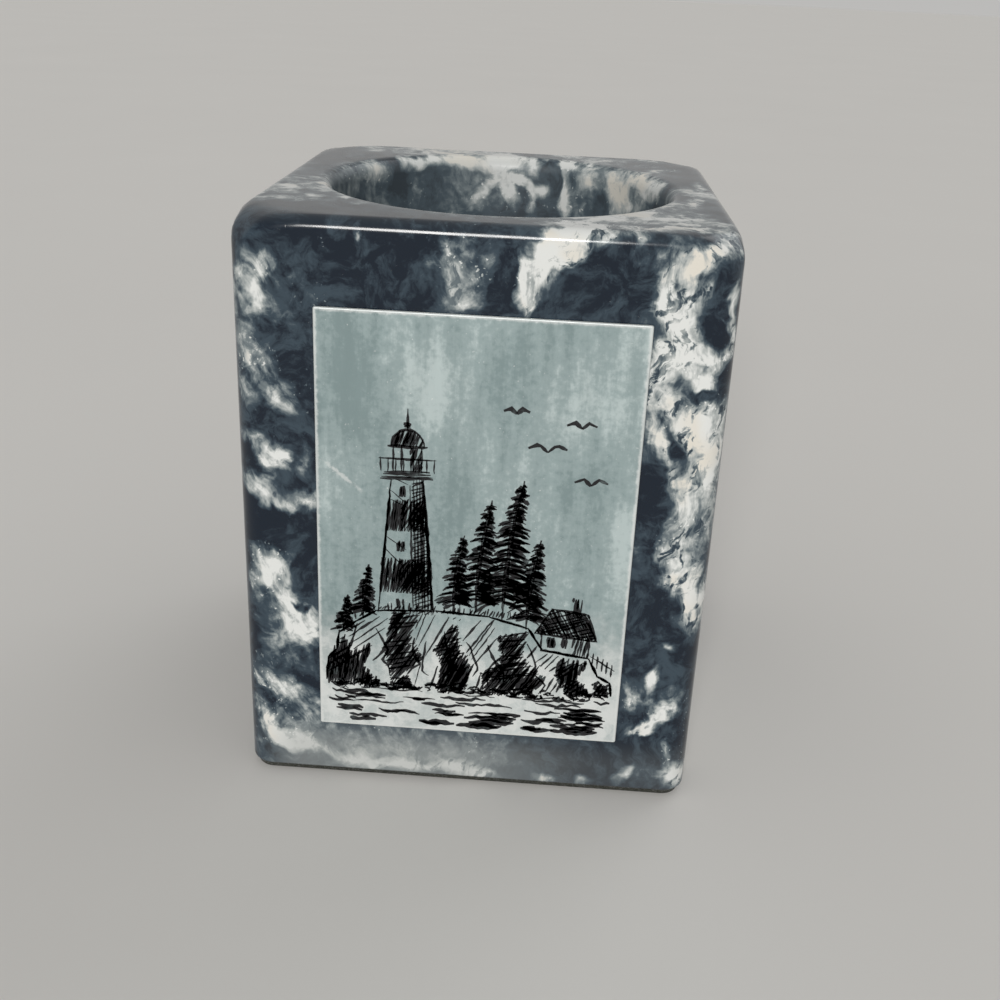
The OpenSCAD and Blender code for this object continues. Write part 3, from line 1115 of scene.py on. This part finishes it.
def draw_trees(pen):
    """Pines behind the tower and at the headland's left end, by their foot, height and spread."""
    for u, v, height, spread in (
        (22.2, 23.0, 14.5, 3.2),
        (25.8, 23.4, 20.5, 4.0),
        (30.2, 22.6, 25.0, 5.0),
        (34.2, 21.0, 16.5, 3.8),
        (4.2, 18.4, 7.0, 2.2),
        (7.4, 21.2, 10.0, 2.6),
    ):
        draw_pine(pen, u, v, height, spread)


def draw_cottage(pen):
    """A low cottage on the slope, with a black roof, a chimney and a fence."""
    wall = [(36.8, 17.2), (44.6, 16.4), (44.6, 20.2), (36.8, 21.0)]
    roof = [(35.7, 20.5), (38.3, 25.2), (44.2, 24.5), (45.8, 19.6)]
    pen.outline(wall, 0.40)
    pen.hatch([(41.9, 16.6), (44.6, 16.4), (44.6, 20.2), (41.9, 20.4)], 80, 0.36, 0.38)
    pen.outline(roof, 0.50)
    pen.solid(roof, -62)
    pen.hatch(roof, 20, 0.7, 0.4)
    pen.solid([(41.6, 24.0), (43.1, 23.8), (43.1, 27.2), (41.6, 27.4)], 88)
    for u in (37.8, 40.0):
        pen.solid([(u, 18.0), (u + 1.1, 17.9), (u + 1.1, 19.8), (u, 19.9)], 90)
    for post in range(5):
        u = 45.4 + post * 0.8
        pen.stroke([(u, 15.0 - post * 0.5), (u + 0.1, 17.4 - post * 0.5)], 0.36)
    pen.stroke([(45.0, 16.8), (49.2, 14.2)], 0.30)


def draw_headland(pen):
    """A rocky headland: a jagged edge, cracks, black clefts and scratched lit faces."""
    edge = [
        (1.2, 9.0), (1.6, 13.4), (3.0, 15.0), (3.4, 18.2), (6.4, 20.6), (9.6, 22.8), (19.4, 23.4),
        (28.0, 23.0), (34.6, 21.2), (37.0, 17.4), (44.8, 16.2), (46.4, 13.0), (48.6, 11.8), (48.9, 9.2),
    ]
    for _ in range(2):
        pen.outline(edge, 0.48, closed=False)
    clefts = (
        [(1.4, 8.6), (1.8, 13.2), (4.2, 17.8), (5.6, 14.6), (8.8, 16.4), (7.4, 12.0), (10.4, 8.2)],
        [
            (10.8, 15.8), (12.4, 22.6), (16.6, 22.8), (15.0, 18.4),
            (17.2, 14.0), (14.2, 11.4), (16.0, 8.0), (12.6, 8.4),
        ],
        [(19.8, 8.0), (20.6, 13.6), (19.2, 16.2), (22.8, 21.8), (23.6, 16.0), (25.8, 13.6), (24.2, 8.2)],
        [
            (28.0, 8.2), (27.2, 12.2), (30.6, 14.4), (29.8, 19.2),
            (34.4, 20.6), (34.0, 15.2), (37.8, 11.6), (35.2, 8.4),
        ],
        [(39.4, 12.8), (40.4, 15.6), (44.6, 15.4), (43.0, 12.4), (45.8, 9.0), (41.4, 9.2)],
        [(46.4, 9.2), (46.0, 11.6), (48.4, 11.4), (48.6, 9.4)],
    )
    for corners in clefts:
        lean = pen.chance.uniform(56, 84)
        pen.hatch(corners, lean, 0.33, 0.64, 0.6, 0.03)
        pen.hatch(corners, lean - 44, 0.75, 0.42, 0.5, 0.2)
    lit = (
        ([(4.6, 18.4), (6.4, 20.4), (11.8, 22.4), (10.4, 16.6), (9.0, 17.0), (5.8, 15.2)], 40),
        ([(16.8, 22.8), (22.4, 22.6), (18.8, 16.4), (17.6, 14.4), (15.6, 18.2)], 66),
        ([(23.2, 22.2), (29.4, 22.4), (29.4, 18.8), (30.2, 14.8), (26.2, 13.8), (24.2, 16.4)], 58),
        ([(34.6, 20.0), (37.0, 17.2), (40.0, 16.2), (39.0, 13.0), (34.6, 15.6)], 48),
        ([(14.6, 11.2), (17.6, 13.6), (20.0, 13.0), (19.2, 8.4), (16.4, 8.4)], 75),
        ([(25.0, 8.6), (26.2, 13.0), (27.0, 12.0), (27.6, 8.6)], 80),
        ([(36.2, 9.0), (38.4, 11.6), (39.4, 12.4), (41.0, 9.4)], 60),
    )
    for corners, lean in lit:
        pen.hatch(corners, lean, 0.80, 0.34, 0.1, 0.30)
    for crack in range(15):
        u = 3.0 + crack * 3.05 + pen.chance.uniform(-1.0, 1.0)
        v = 16.0 if u < 6 or u > 36 else 22.0
        route = [(u, v - pen.chance.uniform(0.0, 5.0))]
        while route[-1][1] > 9.5 and len(route) < 6:
            step = pen.chance.uniform(0.8, 2.2)
            route.append((route[-1][0] + pen.chance.uniform(-1.2, 1.2), route[-1][1] - step))
        pen.stroke(route, pen.chance.uniform(0.35, 0.60))
    for tuft in range(60):
        u = 3.4 + tuft * 0.54 + pen.chance.uniform(-0.2, 0.2)
        v = 18.0 + 5.0 * math.sin(min(1.0, (u - 3.4) / 7.0) * math.pi / 2)
        pen.stroke([(u, v), (u + pen.chance.uniform(-0.2, 0.8), v + pen.chance.uniform(0.5, 1.6))], 0.30)
    for u in range(5, 47, 4):
        pen.tangle(complex(u, 8.6), 2.4, 0.6, 11)


def draw_sea(pen):
    """Long rough strokes that lie level, in bundles, heavier towards the viewer."""
    for row in range(8):
        v = 1.5 + row * 0.88
        weight = 1.15 - 0.09 * row
        u = 1.0 + pen.chance.random() * 4.0
        while u < 46.5:
            reach = min(pen.chance.uniform(3.5, 13.0), 49.2 - u)
            if pen.chance.random() > 0.16:
                for line in range(pen.chance.choice((1, 2, 2, 3))):
                    rise = v + line * 0.34 + pen.chance.uniform(-0.2, 0.2)
                    start = u + pen.chance.uniform(0.0, reach * 0.35)
                    stop = u + reach * pen.chance.uniform(0.7, 1.0)
                    sway = pen.chance.uniform(0.05, 0.28)
                    wave = [
                        (start + (stop - start) * step / 5, rise + sway * math.sin(step * 1.7 + u))
                        for step in range(6)
                    ]
                    pen.stroke(wave, weight * pen.chance.uniform(0.4, 1.1), 0.16)
            u += reach * pen.chance.uniform(0.75, 1.35)


def draw_gulls(pen):
    """A few gulls over the trees, each two bent wing strokes."""
    for u, v, span in ((36.0, 52.6, 3.0), (41.0, 56.8, 2.3), (31.0, 58.6, 2.0), (43.0, 47.4, 2.6)):
        for side in (-1, 1):
            wing = [(u, v), (u + side * span * 0.45, v + span * 0.42), (u + side * span, v + span * 0.18)]
            pen.stroke(wing, 0.72, 0.03)


class PEN_CUP_OT_plate_print(bpy.types.Operator):
    """Draws the plate's coast scene as raised ink strokes"""

    bl_idname = "pen_cup.plate_print"
    bl_label = "Plate print"

    def execute(self, context):
        settings = context.scene.cup_plate
        corner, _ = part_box("picture_plate")
        pen = PenDrawing(settings.seed)
        for draw in (draw_headland, draw_trees, draw_tower, draw_cottage, draw_sea, draw_gulls):
            draw(pen)
        face = corner.y + settings.ink_depth
        places = [(corner.x + point.real * MM, face, corner.z + point.imag * MM) for point in pen.points]
        drawing = mesh_piece("plate_print", places, pen.faces)
        apply_modifier(drawing, "SOLIDIFY", thickness=settings.ink_depth, offset=1.0)
        hand_over(drawing, ink_finish(settings), "plate")
        return {"FINISHED"}


def edge_line(settings, low, high):
    """The length of a quarter of the felt's edge, and a function that finds a place along it."""
    straight = (high.x - low.x) - 2 * settings.corner_radius
    quarter = straight + settings.corner_radius * math.pi / 2

    def at(run):
        if run < straight:
            return complex(high.x, run - straight / 2), complex(1, 0)
        angle = (run - straight) / settings.corner_radius
        outward = complex(math.cos(angle), math.sin(angle))
        return complex(straight / 2, straight / 2) + outward * settings.corner_radius, outward

    return quarter, at


def loose_fibres(settings, low, high):
    """Short bent fibres that stand out of the felt's cut edge, each a tube that thins to its end."""
    chance = random.Random(settings.seed)
    points = []
    faces = []
    quarter, edge_at = edge_line(settings, low, high)
    for _ in range(settings.fibres):
        run = chance.random() * quarter * 4
        angle = math.pi / 2 * int(run / quarter)
        side = complex(math.cos(angle), math.sin(angle))
        edge, outward = edge_at(run % quarter)
        heading = outward * side
        root = edge * side - heading * settings.fray * 2
        along = heading * complex(math.cos(FIBRE_TURN), math.sin(FIBRE_TURN) * chance.choice((-1, 1)))
        height = low.z + (high.z - low.z) * chance.uniform(0.2, 0.85)
        reach = settings.fibre_length * chance.uniform(0.5, 1.0)
        first = len(points)
        for step in range(FIBRE_RINGS):
            share = step / (FIBRE_RINGS - 1)
            out = heading * reach * 0.35 * math.sin(share * math.pi) * chance.uniform(0.4, 1.0)
            spot = root + along * reach * share + out
            rise = height + reach * 0.12 * math.sin(share * 2.0)
            half = settings.fibre_width / 2 * (1 - 0.6 * share)
            for corner in range(FIBRE_SIDES):
                turn = 2 * math.pi * corner / FIBRE_SIDES
                place = spot + heading * half * math.cos(turn)
                points.append((place.real, place.imag, rise + half * math.sin(turn)))
        last = len(points) - FIBRE_SIDES
        for ring in range(first, last, FIBRE_SIDES):
            for corner in range(FIBRE_SIDES):
                here = ring + corner
                after = ring + (corner + 1) % FIBRE_SIDES
                faces.append((here, after, after + FIBRE_SIDES, here + FIBRE_SIDES))
        faces.append(tuple(reversed(range(first, first + FIBRE_SIDES))))
        faces.append(tuple(range(last, last + FIBRE_SIDES)))
    fibres = mesh_piece("felt_fibres", points, faces)
    bpy.ops.object.mode_set(mode="EDIT")
    stop_modelling()
    bpy.ops.object.shade_smooth()
    return fibres


class PEN_CUP_OT_felt_base(bpy.types.Operator):
    """Models the felt with its frayed edge and the loose fibres round it"""

    bl_idname = "pen_cup.felt_base"
    bl_label = "Felt base"

    def execute(self, context):
        settings = context.scene.cup_felt
        low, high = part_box("felt_pad")
        felt = add_sheet("felt_sheet", low, high, settings.corner_radius)
        thickness = high.z - low.z
        flat_area = bmesh.from_edit_mesh(felt.data).faces[:][0].calc_area()
        extrude(thickness)
        for height in (low.z, high.z):
            bevel_edges(both(level(height)), thickness * FELT_EDGE, FELT_EDGE_STEPS)
        middle_z = (low.z + high.z) / 2
        pick_points(lambda place: abs(place.z - middle_z) < thickness * FRAYED)
        bpy.ops.transform.resize(value=(1 - settings.fray / high.x, 1 - settings.fray / high.y, 1.0))
        bpy.ops.transform.vertex_random(offset=settings.fray * 0.5, uniform=0.6, seed=settings.seed)
        stop_modelling()
        bpy.ops.object.shade_smooth_by_angle(angle=math.radians(50))
        material = felt_finish(settings)
        hand_over(felt, material, "felt", "felt_pad")
        fibres = loose_fibres(settings, low, high)
        hand_over(fibres, material, "felt")
        return {"FINISHED"}


class PEN_CUP_OT_adhesive_films(bpy.types.Operator):
    """Gives the two hidden adhesive films their finish"""

    bl_idname = "pen_cup.adhesive_films"
    bl_label = "Adhesive films"

    def execute(self, context):
        material = film_finish()
        for name in ("plate_film", "felt_film"):
            dress(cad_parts[name], material)
        return {"FINISHED"}


def add_sun(name, towards, strength, width, color):
    """Far light from a direction, as wide as an angle in degrees."""
    turn = Vector(towards).to_track_quat("Z", "Y").to_euler()
    bpy.ops.object.light_add(type="SUN", rotation=turn)
    sun = bpy.context.object
    sun.name = name
    sun.data.energy = strength
    sun.data.angle = math.radians(width)
    sun.data.color = color


def light_world(scene, settings):
    """Even light from all round, with the pale backdrop that the camera and reflections see."""
    world = scene.world or bpy.data.worlds.new("studio")
    scene.world = world
    world.use_nodes = True
    nodes = Nodes(world.node_tree)
    nodes.tree.nodes.clear()
    rays = nodes.node("ShaderNodeLightPath", {}).outputs
    seen = rays["Is Camera Ray"]
    for kind in ("Is Glossy Ray", "Is Transmission Ray"):
        seen = nodes.math("MAXIMUM", seen, rays[kind])
    direction = nodes.node("ShaderNodeTexCoord", {}).outputs["Generated"]
    backwards = nodes.axes(direction)["Y"]
    backdrop = nodes.span(backwards, -0.5, 0.5, settings.sky_front, settings.sky_seen)
    brightness = nodes.node("ShaderNodeMapRange", {0: seen, 3: settings.sky_light, 4: backdrop})
    sky = {"Color": opaque(settings.sky), "Strength": brightness.outputs[0]}
    background = nodes.node("ShaderNodeBackground", sky)
    nodes.node("ShaderNodeOutputWorld", {"Surface": background.outputs[0]})


class PEN_CUP_OT_stage(bpy.types.Operator):
    """Sets up the pale floor, the far lights, the backdrop and the camera"""

    bl_idname = "pen_cup.stage"
    bl_label = "Stage"

    def execute(self, context):
        settings = context.scene.cup_stage
        bpy.ops.object.select_all(action="DESELECT")
        bpy.ops.mesh.primitive_circle_add(vertices=96, radius=settings.floor_radius, fill_type="NGON")
        floor = start_modelling("floor")
        bpy.ops.mesh.select_all(action="SELECT")
        bpy.ops.mesh.inset(thickness=settings.floor_radius * 0.5)
        stop_modelling()
        floor.data.materials.append(floor_finish(settings))

        add_sun("window_light", TO_WINDOW, settings.key, WINDOW_WIDTH, WINDOW_COLOR)
        add_sun("rim_light", TO_RIM, settings.rim, RIM_WIDTH, RIM_COLOR)
        light_world(context.scene, settings)

        bpy.ops.object.camera_add(
            location=CAMERA_PLACE, rotation=[math.radians(angle) for angle in CAMERA_TURN]
        )
        camera = context.object
        camera.name = "photo_camera"
        camera.data.sensor_fit = "HORIZONTAL"
        camera.data.sensor_width = CAMERA_SENSOR
        camera.data.lens = CAMERA_LENS
        camera.data.shift_x, camera.data.shift_y = CAMERA_SHIFT
        camera.data.clip_start = 0.01
        context.scene.camera = camera
        context.scene.view_settings.view_transform = "Standard"
        return {"FINISHED"}


PIECES = (
    PEN_CUP_OT_marble_block,
    PEN_CUP_OT_picture_plate,
    PEN_CUP_OT_plate_print,
    PEN_CUP_OT_felt_base,
    PEN_CUP_OT_adhesive_films,
    PEN_CUP_OT_stage,
)
SETTINGS = {
    "cup_marble": MarbleSettings,
    "cup_plate": PlateSettings,
    "cup_felt": FeltSettings,
    "cup_stage": StageSettings,
}


class PEN_CUP_PT_sidebar(bpy.types.Panel):
    """Lists the pieces of the cup and the values behind them"""

    bl_idname = "PEN_CUP_PT_sidebar"
    bl_label = "Pen cup"
    bl_space_type = "VIEW_3D"
    bl_region_type = "UI"
    bl_category = "Pen cup"

    def draw(self, context):
        for piece in PIECES:
            self.layout.operator(piece.bl_idname)
        for name, group in SETTINGS.items():
            box = self.layout.box()
            for key in group.__annotations__:
                box.prop(getattr(context.scene, name), key)


def register():
    for group in SETTINGS.values():
        bpy.utils.register_class(group)
    for name, group in SETTINGS.items():
        setattr(bpy.types.Scene, name, PointerProperty(type=group))
    for piece in PIECES:
        bpy.utils.register_class(piece)
    bpy.utils.register_class(PEN_CUP_PT_sidebar)


def unregister():
    bpy.utils.unregister_class(PEN_CUP_PT_sidebar)
    for piece in reversed(PIECES):
        bpy.utils.unregister_class(piece)
    for name, group in SETTINGS.items():
        delattr(bpy.types.Scene, name)
        bpy.utils.unregister_class(group)


def main():
    register()
    bpy.ops.pen_cup.marble_block()
    bpy.ops.pen_cup.picture_plate()
    bpy.ops.pen_cup.plate_print()
    bpy.ops.pen_cup.felt_base()
    bpy.ops.pen_cup.adhesive_films()
    bpy.ops.pen_cup.stage()


if __name__ == "__main__":
    main()
